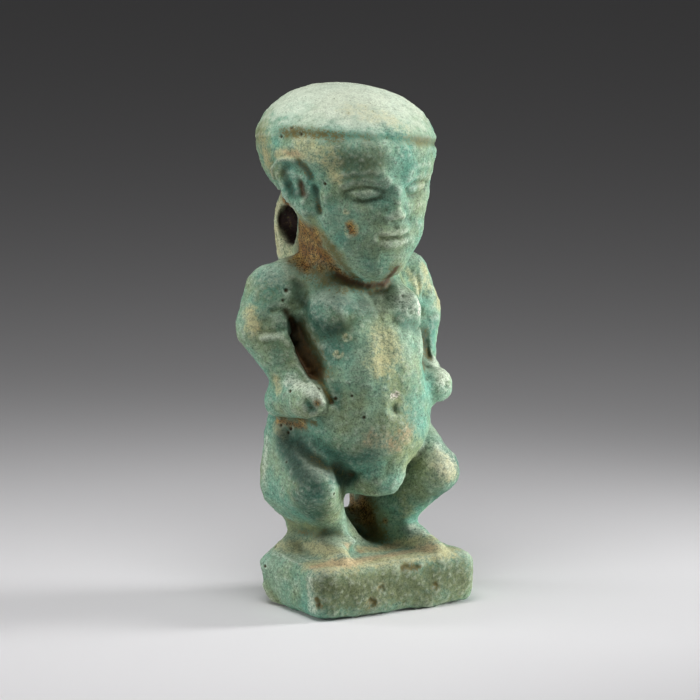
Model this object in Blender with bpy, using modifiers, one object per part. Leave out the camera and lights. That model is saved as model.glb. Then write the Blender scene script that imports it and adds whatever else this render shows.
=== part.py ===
"""Faience amulet: a squat standing dwarf on a low plinth, with a loop behind the neck.

Metres, +Z up. The figure faces -Y and its right hand side is -X. The origin is the
centre of the plinth's underside. Figure, plinth and loop are one moulded solid.
"""

import math

import bmesh
import bpy
import numpy as np
from mathutils import Euler, Matrix, Vector

# Driving sizes
FIGURE_HEIGHT = 0.0359
PLINTH_WIDTH = 0.0143
PLINTH_DEPTH = 0.0093
PLINTH_HEIGHT = 0.0041
PLINTH_CORNER_RADIUS = 0.0009
PLINTH_EDGE_RADIUS = 0.0007
LOOP_WIDTH = 0.0046
LOOP_DROP = 0.0011
BORE_DIAMETER = 0.0026
BORE_RIM = 0.0011
CORNER_LUMP_RADIUS = 0.0014

# Fineness of the surface
VOXEL_SIZE = 0.0002
SMOOTH_PASSES = 12
TRIANGLE_TARGET = 9200
BORE_SIDES = 28

# The body is laid out in hundredths of the figure's height, above the plinth's top
SHARE = FIGURE_HEIGHT / 100.0
NECK_BACK = 20.5
BORE_LEVEL = 67.4
KNEE_LEVEL = 16.0
SIDES = (-1, 1)

# How far the plinth's block reaches below the ground before it is cut flat
SINK = 0.0001

FAIENCE_COLOUR = (0.16, 0.36, 0.29, 1.0)
FAIENCE_ROUGHNESS = 0.62

FRONT = Vector((0.0, -1.0, 0.0))
BACK = Vector((0.0, 1.0, 0.0))
TOP = Vector((0.0, 0.0, 1.0))


def clear_scene():
    for item in list(bpy.data.objects):
        bpy.data.objects.remove(item, do_unlink=True)


def new_collection(name):
    collection = bpy.data.collections.new(name)
    bpy.context.scene.collection.children.link(collection)
    return collection


def body_point(x, y, z):
    """A place on the figure, given in hundredths of its height above the plinth."""
    return Vector((x * SHARE, y * SHARE, PLINTH_HEIGHT + z * SHARE))


def both(x, y, z, radius):
    """A knob and its mirror image on the other side of the body."""
    return (-x, y, z, radius), (x, y, z, radius)


def faience_material():
    material = bpy.data.materials.new("faience")
    material.use_nodes = True
    shader = material.node_tree.nodes["Principled BSDF"]
    shader.inputs["Base Color"].default_value = FAIENCE_COLOUR
    shader.inputs["Roughness"].default_value = FAIENCE_ROUGHNESS
    shader.inputs["Metallic"].default_value = 0.0
    return material


class Clay:
    """Collects overlapping closed forms before they are fused into one body."""

    def __init__(self):
        self.mesh = bmesh.new()

    def ball(self, centre, radii, turn=(0.0, 0.0, 0.0)):
        """An ellipsoid; centre and radii in shares, turn in degrees about X, Y and Z."""
        spin = Euler([math.radians(angle) for angle in turn]).to_matrix().to_4x4()
        size = Matrix.Diagonal((*[radius * SHARE for radius in radii], 1.0))
        place = Matrix.Translation(body_point(*centre))
        bmesh.ops.create_icosphere(self.mesh, subdivisions=4, radius=1.0, matrix=place @ spin @ size)

    def limb(self, *knobs):
        """A smooth hull around balls, each given as (x, y, z, radius) in shares."""
        hull = bmesh.new()
        for x, y, z, radius in knobs:
            place = Matrix.Translation(body_point(x, y, z))
            bmesh.ops.create_icosphere(hull, subdivisions=3, radius=radius * SHARE, matrix=place)
        result = bmesh.ops.convex_hull(hull, input=hull.verts)
        inside = [part for part in result["geom_interior"] if isinstance(part, bmesh.types.BMVert)]
        bmesh.ops.delete(hull, geom=inside, context="VERTS")
        scratch = bpy.data.meshes.new("hull")
        hull.to_mesh(scratch)
        hull.free()
        self.mesh.from_mesh(scratch)
        bpy.data.meshes.remove(scratch)

    def to_object(self, name, collection):
        mesh = bpy.data.meshes.new(name)
        bmesh.ops.recalc_face_normals(self.mesh, faces=self.mesh.faces)
        self.mesh.to_mesh(mesh)
        self.mesh.free()
        item = bpy.data.objects.new(name, mesh)
        collection.objects.link(item)
        return item


def add_head(clay):
    cap_tilt = (0.0, 3.0, 0.0)
    clay.ball((0.0, 9.7, 87.2), (18.9, 21.5, 12.8), turn=cap_tilt)
    clay.ball((0.0, 9.7, 85.5), (18.4, 20.8, 13.0), turn=cap_tilt)
    clay.ball((0.0, 4.0, 81.0), (15.0, 15.8, 17.0))
    clay.ball((0.0, 1.0, 70.8), (11.7, 12.0, 10.4))
    clay.ball((0.0, -3.5, 66.5), (7.8, 6.5, 7.0))


def add_ears(clay):
    """Large ears, broad and leaning back at the top and narrow at the lobe."""
    for side in SIDES:
        behind = (side * 17.3, 7.2, 82.6, 2.1)
        low_behind = (side * 16.4, 6.0, 79.6, 2.1)
        top = (side * 17.0, 4.9, 84.6, 2.0)
        front = (side * 15.6, 3.0, 83.6, 1.9)
        lobe = (side * 13.9, 2.8, 75.2, 2.0)
        clay.limb(behind, low_behind, top, front, lobe)


def add_neck(clay):
    clay.limb((0.0, 11.0, 56.0, 9.5), (0.0, 11.0, 74.0, 9.5))
    clay.ball((0.0, 9.5, 58.5), (12.0, 10.0, 6.0))


def loop_centre():
    """The bore's axis lies its own radius behind the back of the neck."""
    centre = body_point(0.0, NECK_BACK, BORE_LEVEL)
    centre.y += BORE_DIAMETER / 2.0
    return centre


def add_loop(clay):
    """A short bar across the nape, longer below its bore than above it."""
    outer = BORE_DIAMETER / 2.0 + BORE_RIM
    stretch = Matrix.Diagonal((1.0, 1.0, 1.2, 1.0))
    lie_across = Matrix.Rotation(math.pi / 2.0, 4, "Y")
    for drop in (0.0, LOOP_DROP):
        centre = loop_centre() - drop * TOP
        bmesh.ops.create_cone(
            clay.mesh,
            cap_ends=True,
            segments=48,
            radius1=outer,
            radius2=outer,
            depth=LOOP_WIDTH,
            matrix=Matrix.Translation(centre) @ stretch @ lie_across,
        )


def add_trunk(clay):
    """Broad shoulders, a thick waist that runs into the belly, and what hangs below it."""
    chest = both(3.0, 4.0, 47.5, 9.6)
    upper_belly = both(2.4, 0.6, 38.5, 10.2)
    lower_belly = both(2.4, 2.8, 30.4, 12.6)
    clay.limb(*both(8.6, 14.0, 55.8, 7.2), *both(4.0, 6.4, 49.5, 9.2))
    clay.limb(*chest, *upper_belly, *lower_belly)
    clay.ball((0.0, 5.4, 27.8), (15.4, 16.8, 13.8))
    clay.limb(*both(4.2, 12.5, 46.0, 7.7), *both(5.6, 12.0, 30.0, 9.0))
    clay.limb(*both(1.4, -5.0, 17.2, 4.4), *both(4.6, 5.0, 17.2, 4.8))
    clay.limb(*both(5.0, 9.0, 18.4, 5.6))
    for side in SIDES:
        clay.ball((side * 6.6, 2.6, 51.0), (6.6, 6.0, 6.6))


def add_arms(clay):
    """Arms held out at the elbow, fists on the hips, joined to the back by a thin web."""
    for side in SIDES:
        shoulder = (side * 15.7, 13.5, 55.4, 6.5)
        elbow = (side * 19.2, 13.1, 48.2, 5.5)
        forearm = (side * 18.2, 9.5, 43.5, 4.1)
        wrist = (side * 16.0, 5.6, 38.4, 3.7)
        heel_of_hand = (side * 16.8, 8.2, 33.0, 4.1)
        knuckles = (side * 15.4, -2.4, 34.8, 3.9)
        clay.limb((side * 8.0, 14.0, 56.0, 6.8), shoulder)
        clay.limb(shoulder, elbow)
        clay.limb(elbow, forearm, wrist)
        clay.limb(wrist, heel_of_hand, (side * 16.0, 3.0, 34.8, 4.1))
        clay.limb(heel_of_hand, knuckles)
        clay.limb((side * 12.6, 14.2, 53.0, 4.8), (side * 12.8, 12.2, 37.0, 4.6))


def add_legs(clay):
    """Bent bow legs: thigh and calf are so short that they read as one mass."""
    for side in SIDES:
        hip = (side * 9.8, 10.9, 25.0, 8.5)
        knee = (side * 14.4, -3.0, 16.2, 5.6)
        calf = (side * 12.7, 9.4, 14.6, 7.9)
        shin = (side * 12.6, -0.5, 13.0, 4.8)
        lower_calf = (side * 8.2, 12.4, 8.5, 5.2)
        lower_shin = (side * 8.6, 3.6, 7.0, 4.4)
        clay.ball((side * 7.4, 12.6, 22.5), (8.0, 7.4, 9.0))
        clay.limb(hip, knee, calf)
        clay.limb(calf, shin, lower_calf, lower_shin)
        clay.limb(lower_calf, lower_shin, *ankle_knobs(side))
        clay.limb((side * 13.2, -1.8, 14.6, 4.4), (side * 7.4, 4.6, 5.0, 3.8))


def ankle_knobs(side):
    return (side * 8.2, 8.8, 2.6, 5.7), (side * 8.2, 3.8, 2.4, 4.3)


def add_feet(clay):
    """Short feet, turned a little out, on paste that wells up round and between them."""
    for side in SIDES:
        ball_of_foot = (side * 10.8, -3.0, 0.2, 3.4)
        toes = (side * 11.6, -8.0, 0.1, 2.6)
        clay.limb(*ankle_knobs(side), ball_of_foot)
        clay.limb(ball_of_foot, toes)
        clay.ball((side * 10.2, 8.4, -0.8), (8.4, 5.0, 4.6))
    clay.ball((0.0, 4.5, -1.6), (17.0, 10.0, 3.0))
    clay.limb(*both(5.0, 11.6, 3.4, 3.4))


def add_corner_lump(clay):
    """A bulge of paste on the plinth's back corner, at the figure's right hand side."""
    centre = Vector(
        (
            PLINTH_CORNER_RADIUS - PLINTH_WIDTH / 2.0,
            PLINTH_DEPTH / 2.0 - PLINTH_CORNER_RADIUS - CORNER_LUMP_RADIUS / 3.0,
            PLINTH_HEIGHT - CORNER_LUMP_RADIUS,
        )
    )
    stretch = Matrix.Diagonal((1.0, 1.4, 1.0, 1.0))
    place = Matrix.Translation(centre) @ stretch
    bmesh.ops.create_icosphere(clay.mesh, subdivisions=4, radius=CORNER_LUMP_RADIUS, matrix=place)


def add_plinth(collection):
    """A block with rounded corners, sunk a little so that its underside is cut flat."""
    bpy.ops.mesh.primitive_cube_add(size=1.0)
    block = bpy.context.object
    block.name = "plinth_block"
    height = PLINTH_HEIGHT + SINK
    block.data.transform(Matrix.Diagonal((PLINTH_WIDTH, PLINTH_DEPTH, height, 1.0)))
    block.data.transform(Matrix.Translation((0.0, 0.0, height / 2.0 - SINK)))
    shape = bmesh.new()
    shape.from_mesh(block.data)
    upright = [edge for edge in shape.edges if abs(edge.verts[0].co.z - edge.verts[1].co.z) > SINK]
    bmesh.ops.bevel(
        shape, geom=upright, offset=PLINTH_CORNER_RADIUS, segments=6, profile=0.5, affect="EDGES"
    )
    level = [edge for edge in shape.edges if edge.is_manifold and edge.calc_face_angle(0.0) > 1.0]
    bmesh.ops.bevel(
        shape, geom=level, offset=PLINTH_EDGE_RADIUS, segments=4, profile=0.5, affect="EDGES"
    )
    shape.to_mesh(block.data)
    shape.free()
    for owner in list(block.users_collection):
        owner.objects.unlink(block)
    collection.objects.link(block)
    return block


def join_objects(items):
    """Joins the meshes of several objects into the first one and removes the others."""
    joined = bmesh.new()
    for item in items:
        joined.from_mesh(item.data)
    joined.to_mesh(items[0].data)
    joined.free()
    for item in items[1:]:
        bpy.data.objects.remove(item, do_unlink=True)
    return items[0]


def bake_modifiers(item):
    """Replaces the object's mesh by its evaluated one and drops its modifiers."""
    graph = bpy.context.evaluated_depsgraph_get()
    baked = bpy.data.meshes.new_from_object(item.evaluated_get(graph))
    item.modifiers.clear()
    item.data = baked


def fuse(item):
    """Melts the overlapping forms into one skin, as pressed paste has none of its seams."""
    melt = item.modifiers.new("melt", "REMESH")
    melt.mode = "VOXEL"
    melt.voxel_size = VOXEL_SIZE
    soften = item.modifiers.new("soften", "SMOOTH")
    soften.factor = 0.5
    soften.iterations = SMOOTH_PASSES
    bake_modifiers(item)


class Relief:
    """Presses marks into a mesh or raises them from it, in shares of the figure's height."""

    def __init__(self, mesh):
        self.mesh = mesh
        count = len(mesh.vertices)
        flat = np.empty(count * 3)
        mesh.vertices.foreach_get("co", flat)
        self.points = (flat.reshape(-1, 3) - (0.0, 0.0, PLINTH_HEIGHT)) / SHARE
        mesh.vertices.foreach_get("normal", flat)
        self.normals = flat.reshape(-1, 3).copy()

    def facing(self, view):
        """How far each point faces a viewer on that side, from 0 to 1; the top sees only the feet."""
        weight = np.clip((self.normals @ np.array(view) - 0.1) / 0.5, 0.0, 1.0)
        if view == TOP:
            weight *= self.points[:, 2] < KNEE_LEVEL
        return weight

    def flat_points(self, view):
        """The points as that viewer sees them, without the axis that the view runs along."""
        return self.points[:, [axis for axis in range(3) if abs(view[axis]) < 0.5]]

    def push(self, weight, height):
        self.points += self.normals * (weight * height)[:, None]

    def stroke(self, view, path, width, height):
        """A soft line along a path; height is negative for a groove."""
        seen = self.flat_points(view)
        distance = np.full(len(seen), np.inf)
        for start, end in zip(path[:-1], path[1:]):
            start = np.array(start)
            step = np.array(end) - start
            along = np.clip(((seen - start) @ step) / (step @ step), 0.0, 1.0)
            gap = np.linalg.norm(seen - start - along[:, None] * step, axis=1)
            distance = np.minimum(distance, gap)
        self.push(np.exp(-((distance / width) ** 2)) * self.facing(view), height)

    def spot(self, view, centre, radii, height, lean=0.0):
        """A soft oval swelling or hollow; lean turns it, in degrees."""
        seen = self.flat_points(view) - np.array(centre)
        turn = math.radians(lean)
        across = seen[:, 0] * math.cos(turn) + seen[:, 1] * math.sin(turn)
        along = seen[:, 1] * math.cos(turn) - seen[:, 0] * math.sin(turn)
        reach = (across / radii[0]) ** 2 + (along / radii[1]) ** 2
        self.push(np.exp(-reach) * self.facing(view), height)

    def write(self):
        placed = self.points * SHARE + (0.0, 0.0, PLINTH_HEIGHT)
        self.mesh.vertices.foreach_set("co", placed.ravel())
        self.mesh.update()


def arc(centre, radii, start, end, steps=8):
    """Points along part of an oval, between two angles in degrees."""
    angles = [math.radians(start + (end - start) * step / steps) for step in range(steps + 1)]
    across = [centre[0] + radii[0] * math.cos(angle) for angle in angles]
    up = [centre[1] + radii[1] * math.sin(angle) for angle in angles]
    return list(zip(across, up))


def carve_face(relief):
    """A calm, broad face with heavy lids, a short nose and full cheeks."""
    for side in SIDES:
        socket = (side * 6.4, 79.2)
        lid = (side * 6.4, 80.6)
        relief.spot(FRONT, socket, (3.6, 2.4), -0.9)
        relief.spot(FRONT, lid, (3.0, 1.6), 0.7)
        relief.stroke(FRONT, arc(lid, (3.9, 2.2), 200.0, 340.0), 0.7, -0.8)
        relief.stroke(FRONT, arc(lid, (4.6, 3.6), 30.0, 150.0), 0.9, 0.35)
        relief.spot(FRONT, (side * 8.0, 72.5), (3.8, 3.6), 0.7)
        relief.spot(FRONT, (side * 1.7, 75.0), (1.1, 1.1), 0.9)
    relief.stroke(FRONT, [(0.0, 80.5), (0.0, 76.2)], 1.8, 0.9)
    relief.spot(FRONT, (0.0, 75.2), (2.0, 1.4), 1.0)
    relief.stroke(FRONT, [(-3.4, 70.2), (0.0, 69.9), (3.4, 70.2)], 0.55, -0.7)
    relief.stroke(FRONT, [(-2.6, 71.3), (2.6, 71.3)], 0.8, 0.45)
    relief.stroke(FRONT, [(-2.2, 68.7), (2.2, 68.7)], 0.8, 0.4)
    relief.stroke(FRONT, arc((0.0, 68.0), (9.5, 9.0), 215.0, 325.0), 1.0, 0.3)


def carve_cap_line(relief):
    """A step all round the head, where the skull cap ends: high on the brow, low at the nape."""
    across, back, up = relief.points.T
    height = up - 90.2 + 0.16 * across + 0.18 * back
    rim = np.exp(-(((height - 0.9) / 0.9) ** 2))
    groove = np.exp(-(((height + 0.7) / 0.8) ** 2))
    upright = np.clip(1.0 - np.abs(relief.normals[:, 2]), 0.0, 1.0)
    relief.push((rim * 0.25 - groove * 0.5) * upright, 1.0)


def carve_ears(relief):
    """The hollow of each ear, its raised rim, and the groove between lobe and cheek."""
    for side in SIDES:
        view = Vector((side, 0.0, 0.0))
        relief.spot(view, (5.2, 82.2), (2.8, 2.6), -1.6)
        relief.spot(view, (3.8, 79.6), (1.3, 2.8), -1.5, lean=-12.0)
        relief.stroke(view, [(1.0, 81.8), (1.7, 79.4), (2.9, 77.4)], 0.7, 0.7)
        relief.stroke(view, [(2.4, 87.2), (0.0, 85.4), (-1.2, 81.5), (-1.2, 75.6)], 1.0, -1.3)


def carve_chest(relief):
    """Soft breasts, and the deep hollow between each arm and the trunk."""
    for side in SIDES:
        relief.spot(FRONT, (side * 8.0, 52.4), (4.4, 4.0), 0.7)
        relief.stroke(FRONT, arc((side * 8.0, 52.5), (5.6, 5.8), 215.0, 320.0), 2.0, -0.5)
        relief.spot(FRONT, (side * 8.4, 53.4), (0.8, 0.8), 0.35)
        hollow = [(side * 14.2, 54.0), (side * 14.0, 49.5), (side * 13.0, 44.5), (side * 11.0, 38.6)]
        relief.stroke(FRONT, hollow, 1.5, -0.5)
    relief.stroke(FRONT, [(0.0, 56.0), (0.0, 46.0)], 1.4, -0.35)


def carve_belly(relief):
    """The navel, and the crease that runs under the belly along each thigh."""
    relief.spot(FRONT, (0.0, 32.6), (1.1, 1.3), -0.8)
    relief.stroke(FRONT, arc((0.0, 32.6), (1.9, 2.0), 20.0, 160.0), 0.6, 0.25)
    for side in SIDES:
        crease = [(side * 15.5, 27.5), (side * 9.5, 19.5), (side * 4.2, 14.5)]
        relief.stroke(FRONT, crease, 1.2, -1.1)


def carve_back(relief):
    """The furrow of the spine, the waist, and the buttocks."""
    relief.stroke(BACK, [(0.0, 54.0), (0.0, 33.0)], 1.2, -0.6)
    relief.stroke(BACK, [(0.0, 28.0), (0.0, 15.0)], 1.3, -1.2)
    relief.stroke(BACK, [(-14.0, 30.5), (0.0, 31.5), (14.0, 30.5)], 1.4, -0.45)
    for side in SIDES:
        relief.stroke(BACK, arc((side * 7.8, 22.0), (6.5, 6.0), 200.0, 340.0), 1.1, -0.7)


def carve_elbows(relief):
    """The fold inside each bent elbow, with a small swelling below it."""
    for side in SIDES:
        relief.stroke(FRONT, [(side * 21.5, 50.4), (side * 16.0, 50.8)], 0.8, -0.55)
        relief.spot(FRONT, (side * 16.2, 48.8), (1.5, 1.2), 0.6)


def carve_hands(relief):
    """Soft knuckles across the front of each fist, with a hollow beside the thumb."""
    finger_pitch = 1.3
    for side in SIDES:
        relief.spot(FRONT, (side * 15.6, 36.9), (1.6, 0.9), -0.5)
        for finger in range(4):
            across = side * (13.7 + finger * finger_pitch)
            relief.stroke(FRONT, [(across, 36.8), (across, 33.2)], 0.35, -0.2)


def carve_feet(relief):
    """Worn toes, parted by shallow grooves."""
    toe_pitch = 0.95
    for side in SIDES:
        for toe in range(4):
            across = side * (10.5 + toe * toe_pitch)
            relief.stroke(TOP, [(across, -6.4), (across, -9.6)], 0.35, -0.2)


def carve(item):
    relief = Relief(item.data)
    carve_cap_line(relief)
    carve_face(relief)
    carve_ears(relief)
    carve_chest(relief)
    carve_belly(relief)
    carve_back(relief)
    carve_elbows(relief)
    carve_hands(relief)
    carve_feet(relief)
    relief.write()


def simplify(item):
    """Keeps the skin's shape with fewer, larger triangles."""
    item.data.calc_loop_triangles()
    reduce = item.modifiers.new("reduce", "DECIMATE")
    reduce.ratio = TRIANGLE_TARGET / len(item.data.loop_triangles)
    reduce.use_collapse_triangulate = True
    bake_modifiers(item)


def as_cutter(item, name, collection):
    item.name = name
    item.hide_render = True
    item.display_type = "WIRE"
    for owner in list(item.users_collection):
        owner.objects.unlink(item)
    collection.objects.link(item)
    return item


def add_bore_cutter(collection):
    bpy.ops.mesh.primitive_cylinder_add(
        vertices=BORE_SIDES,
        radius=BORE_DIAMETER / 2.0,
        depth=LOOP_WIDTH * 2.0,
        location=loop_centre(),
        rotation=(0.0, math.pi / 2.0, 0.0),
    )
    return as_cutter(bpy.context.object, "bore_cutter", collection)


def add_ground_cutter(collection):
    depth = PLINTH_HEIGHT
    bpy.ops.mesh.primitive_cube_add(size=1.0, location=(0.0, 0.0, -depth / 2.0))
    cutter = bpy.context.object
    cutter.data.transform(Matrix.Diagonal((PLINTH_WIDTH * 2.0, PLINTH_DEPTH * 2.0, depth, 1.0)))
    return as_cutter(cutter, "ground_cutter", collection)


def cut(item, cutter):
    trim = item.modifiers.new(cutter.name, "BOOLEAN")
    trim.operation = "DIFFERENCE"
    trim.solver = "EXACT"
    trim.object = cutter


def main():
    clear_scene()
    amulet_parts = new_collection("pataikos_amulet")
    cutters = new_collection("cutters")
    clay = Clay()
    for add_upper_form in (add_head, add_ears, add_neck, add_loop, add_trunk, add_arms):
        add_upper_form(clay)
    for add_lower_form in (add_legs, add_feet, add_corner_lump):
        add_lower_form(clay)
    figure = clay.to_object("pataikos_amulet", amulet_parts)
    amulet = join_objects([figure, add_plinth(amulet_parts)])
    fuse(amulet)
    carve(amulet)
    simplify(amulet)
    amulet.data.materials.clear()
    amulet.data.materials.append(faience_material())
    amulet.data.shade_smooth()
    cut(amulet, add_bore_cutter(cutters))
    cut(amulet, add_ground_cutter(cutters))


main()
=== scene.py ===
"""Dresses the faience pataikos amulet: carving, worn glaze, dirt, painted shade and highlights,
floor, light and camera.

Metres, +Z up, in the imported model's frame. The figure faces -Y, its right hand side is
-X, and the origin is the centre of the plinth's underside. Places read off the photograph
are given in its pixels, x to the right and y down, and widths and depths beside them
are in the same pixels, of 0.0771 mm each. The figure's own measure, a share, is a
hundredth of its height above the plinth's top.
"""

import math

import bmesh
import bpy
import numpy as np
from mathutils import Matrix, Vector, noise
from mathutils.bvhtree import BVHTree


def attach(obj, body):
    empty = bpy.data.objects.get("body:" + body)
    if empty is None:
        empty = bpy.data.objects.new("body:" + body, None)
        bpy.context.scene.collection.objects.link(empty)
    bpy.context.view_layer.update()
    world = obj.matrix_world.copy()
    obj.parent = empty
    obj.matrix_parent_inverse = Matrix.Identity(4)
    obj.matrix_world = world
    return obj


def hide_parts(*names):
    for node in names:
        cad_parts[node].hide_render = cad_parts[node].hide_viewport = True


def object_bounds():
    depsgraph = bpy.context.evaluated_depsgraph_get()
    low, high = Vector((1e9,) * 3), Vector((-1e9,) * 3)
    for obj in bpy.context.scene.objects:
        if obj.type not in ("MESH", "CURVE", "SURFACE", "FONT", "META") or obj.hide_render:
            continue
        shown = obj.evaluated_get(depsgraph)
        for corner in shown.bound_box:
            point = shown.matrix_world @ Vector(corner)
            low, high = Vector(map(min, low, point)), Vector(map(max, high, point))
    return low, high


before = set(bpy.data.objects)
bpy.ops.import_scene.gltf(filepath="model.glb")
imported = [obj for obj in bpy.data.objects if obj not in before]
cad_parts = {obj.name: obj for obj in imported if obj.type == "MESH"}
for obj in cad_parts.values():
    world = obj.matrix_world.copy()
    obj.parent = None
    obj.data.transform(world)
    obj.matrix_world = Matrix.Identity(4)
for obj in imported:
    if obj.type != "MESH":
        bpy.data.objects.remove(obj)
cad_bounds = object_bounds()

NODE = "pataikos_amulet"

# The photograph and its camera
PHOTO_SIZE = 700
PHOTO_MIDDLE = PHOTO_SIZE / 2.0
PIXEL = 0.0000771
ORIGIN_PIXEL = (369.0, 601.0)
CAMERA_AZIMUTH = math.radians(-30.2)
CAMERA_ELEVATION = math.radians(12.4)
CAMERA_DISTANCE = 0.8
SENSOR_WIDTH = 36.0

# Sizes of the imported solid, in metres and shares
PLINTH_HEIGHT = 0.0041
NECK_BACK = 20.5
BORE_LEVEL = 67.4
BORE_RADIUS = 0.0013
LOOP_WIDTH = 0.0046
SHARE = (cad_bounds[1].z - PLINTH_HEIGHT) / 100.0

# The crust between jaw and neck, as an oval body, in shares
NAPE_CENTRE = (0.0, 7.5, 64.0)
NAPE_RADII = (10.3, 8.0, 9.0)

# The near foot's apron, as balls: x, y, height and radius, in shares
INSTEP_BALLS = ((-5.6, 4.6, 8.8, 1.3), (-0.4, 2.4, 0.0, 1.5), (-7.0, 2.6, 0.0, 2.0))

# The line under the cap: its level at mid head and its fall to the figure's left and back
CAP_LEVEL = 90.2
CAP_FALL_LEFT = 0.16
CAP_FALL_BACK = 0.18

# Fineness of the skin, in metres, passes and triangles
WELD_DISTANCE = 0.000001
SKIN_VOXEL = 0.00010
SKIN_SMOOTH_PASSES = 36
SKIN_TRIANGLES = 192000
FLAT_BELOW = 0.00004

# Spacing of a traced path's points, in pixels, and a squared length that counts as none
TRACE_STEP = 2.0
NO_LENGTH = 1e-18

# Softening: the least weight that it works on, and how far it draws a point at each pass
LEAST_WEIGHT = 0.01
SOFTEN_PULL = 0.5

# Floor and studio
FLOOR_REACH = 2.0
FLOOR_COLOUR = (0.775, 0.765, 0.78, 1.0)
FLOOR_ROUGHNESS = 0.6
ROOM_LIGHT = 0.032
FIGURE_HEART = (0.0, 0.0, 0.018)

FRONT = Vector((0.0, -1.0, 0.0))
BACK = Vector((0.0, 1.0, 0.0))
TOP = Vector((0.0, 0.0, 1.0))


def add_object(name, data):
    item = bpy.data.objects.new(name, data)
    bpy.context.scene.collection.objects.link(item)
    return item


def camera_axes():
    """Right, up and toward-the-viewer directions of the photograph."""
    azimuth, elevation = CAMERA_AZIMUTH, CAMERA_ELEVATION
    right = Vector((math.cos(azimuth), math.sin(azimuth), 0.0))
    level = math.cos(elevation)
    toward = Vector((math.sin(azimuth) * level, -math.cos(azimuth) * level, math.sin(elevation)))
    return right, toward.cross(right), toward


def camera_place():
    right, up, toward = camera_axes()
    across = (PHOTO_MIDDLE - ORIGIN_PIXEL[0]) * PIXEL
    rise = (ORIGIN_PIXEL[1] - PHOTO_MIDDLE) * PIXEL
    target = right * across + up * rise
    return target + toward * CAMERA_DISTANCE


def camera_lens():
    return SENSOR_WIDTH * CAMERA_DISTANCE / (PHOTO_SIZE * PIXEL)


def add_camera():
    right, up, toward = camera_axes()
    data = bpy.data.cameras.new("photo_camera")
    data.sensor_width = SENSOR_WIDTH
    data.lens = camera_lens()
    data.clip_start = 0.01
    data.clip_end = 10.0
    camera = add_object("photo_camera", data)
    turn = Matrix((right, up, toward)).transposed().to_4x4()
    camera.matrix_world = Matrix.Translation(camera_place()) @ turn
    bpy.context.scene.camera = camera


def pixel_direction(x, y):
    """The direction from the camera through a pixel of the photograph."""
    right, up, toward = camera_axes()
    across = (x - PHOTO_MIDDLE) / PHOTO_SIZE * SENSOR_WIDTH
    down = (y - PHOTO_MIDDLE) / PHOTO_SIZE * SENSOR_WIDTH
    return (right * across - up * down - toward * camera_lens()).normalized()


def figure_place(x, y, z):
    """A place that is given in shares, in metres."""
    return (x * SHARE, y * SHARE, PLINTH_HEIGHT + z * SHARE)


def ramp(values, low, span):
    """0 up to low, then rising to 1 over the span."""
    return np.clip((values - low) / span, 0.0, 1.0)


def bell(values, centre, width):
    """1 at the centre and less to both sides of it, to nearly nothing at 3 widths."""
    return np.exp(-(((values - centre) / width) ** 2))


def bake_modifiers(item):
    """Replaces the object's mesh by its evaluated one and drops its modifiers."""
    graph = bpy.context.evaluated_depsgraph_get()
    baked = bpy.data.meshes.new_from_object(item.evaluated_get(graph))
    item.modifiers.clear()
    item.data = baked


def fill_nape(shape):
    """Closes the crease between the jaw and the neck, which crust has filled."""
    place = Matrix.Translation(figure_place(*NAPE_CENTRE))
    size = Matrix.Diagonal((*[radius * SHARE for radius in NAPE_RADII], 1.0))
    bmesh.ops.create_icosphere(shape, subdivisions=4, radius=1.0, matrix=place @ size)


def ball_directions():
    """Even directions all round a ball."""
    ball = bmesh.new()
    bmesh.ops.create_icosphere(ball, subdivisions=2, radius=1.0)
    directions = [corner.co.copy() for corner in ball.verts]
    ball.free()
    return directions


def fill_instep(shape):
    """The near foot runs down to the plinth between the feet, as a sloping apron."""
    apron = bmesh.new()
    directions = ball_directions()
    for x, y, z, radius in INSTEP_BALLS:
        centre = Vector((x, y, z)) * SHARE + TOP * PLINTH_HEIGHT
        for direction in directions:
            apron.verts.new(centre + direction * radius * SHARE)
    hull = bmesh.ops.convex_hull(apron, input=apron.verts[:])
    hidden = set(hull["geom_interior"]) | set(hull["geom_unused"])
    inner = [item for item in hidden if isinstance(item, bmesh.types.BMVert)]
    bmesh.ops.delete(apron, geom=inner, context="VERTS")
    mesh = bpy.data.meshes.new("apron")
    apron.to_mesh(mesh)
    apron.free()
    shape.from_mesh(mesh)
    bpy.data.meshes.remove(mesh)


def copy_solid(name):
    """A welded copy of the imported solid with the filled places, for the finer skin."""
    shape = bmesh.new()
    shape.from_mesh(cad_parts[name].data)
    bmesh.ops.remove_doubles(shape, verts=shape.verts, dist=WELD_DISTANCE)
    fill_nape(shape)
    fill_instep(shape)
    mesh = bpy.data.meshes.new("amulet_skin")
    shape.to_mesh(mesh)
    shape.free()
    return add_object("amulet_skin", mesh)


def refine(item):
    """Turns the faceted solid into a fine, even and smooth skin of the same form."""
    rounding = item.modifiers.new("rounding", "SUBSURF")
    rounding.levels = 2
    rounding.render_levels = 2
    even = item.modifiers.new("even", "REMESH")
    even.mode = "VOXEL"
    even.voxel_size = SKIN_VOXEL
    soften = item.modifiers.new("soften", "SMOOTH")
    soften.factor = SOFTEN_PULL
    soften.iterations = SKIN_SMOOTH_PASSES
    bake_modifiers(item)


def simplify(item):
    """Brings the carved skin down to its number of triangles."""
    item.data.calc_loop_triangles()
    reduce = item.modifiers.new("reduce", "DECIMATE")
    reduce.ratio = SKIN_TRIANGLES / len(item.data.loop_triangles)
    bake_modifiers(item)


def read_vectors(elements, name):
    flat = np.empty(len(elements) * 3)
    elements.foreach_get(name, flat)
    return flat.reshape(-1, 3)


def distance_to(points, line):
    """Each point's distance from a line through the given corners."""
    gap = np.linalg.norm(points - line[0], axis=1)
    for start, end in zip(line[:-1], line[1:]):
        step = end - start
        along = np.clip(((points - start) @ step) / max(step @ step, NO_LENGTH), 0.0, 1.0)
        gap = np.minimum(gap, np.linalg.norm(points - start - along[:, None] * step, axis=1))
    return gap


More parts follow.
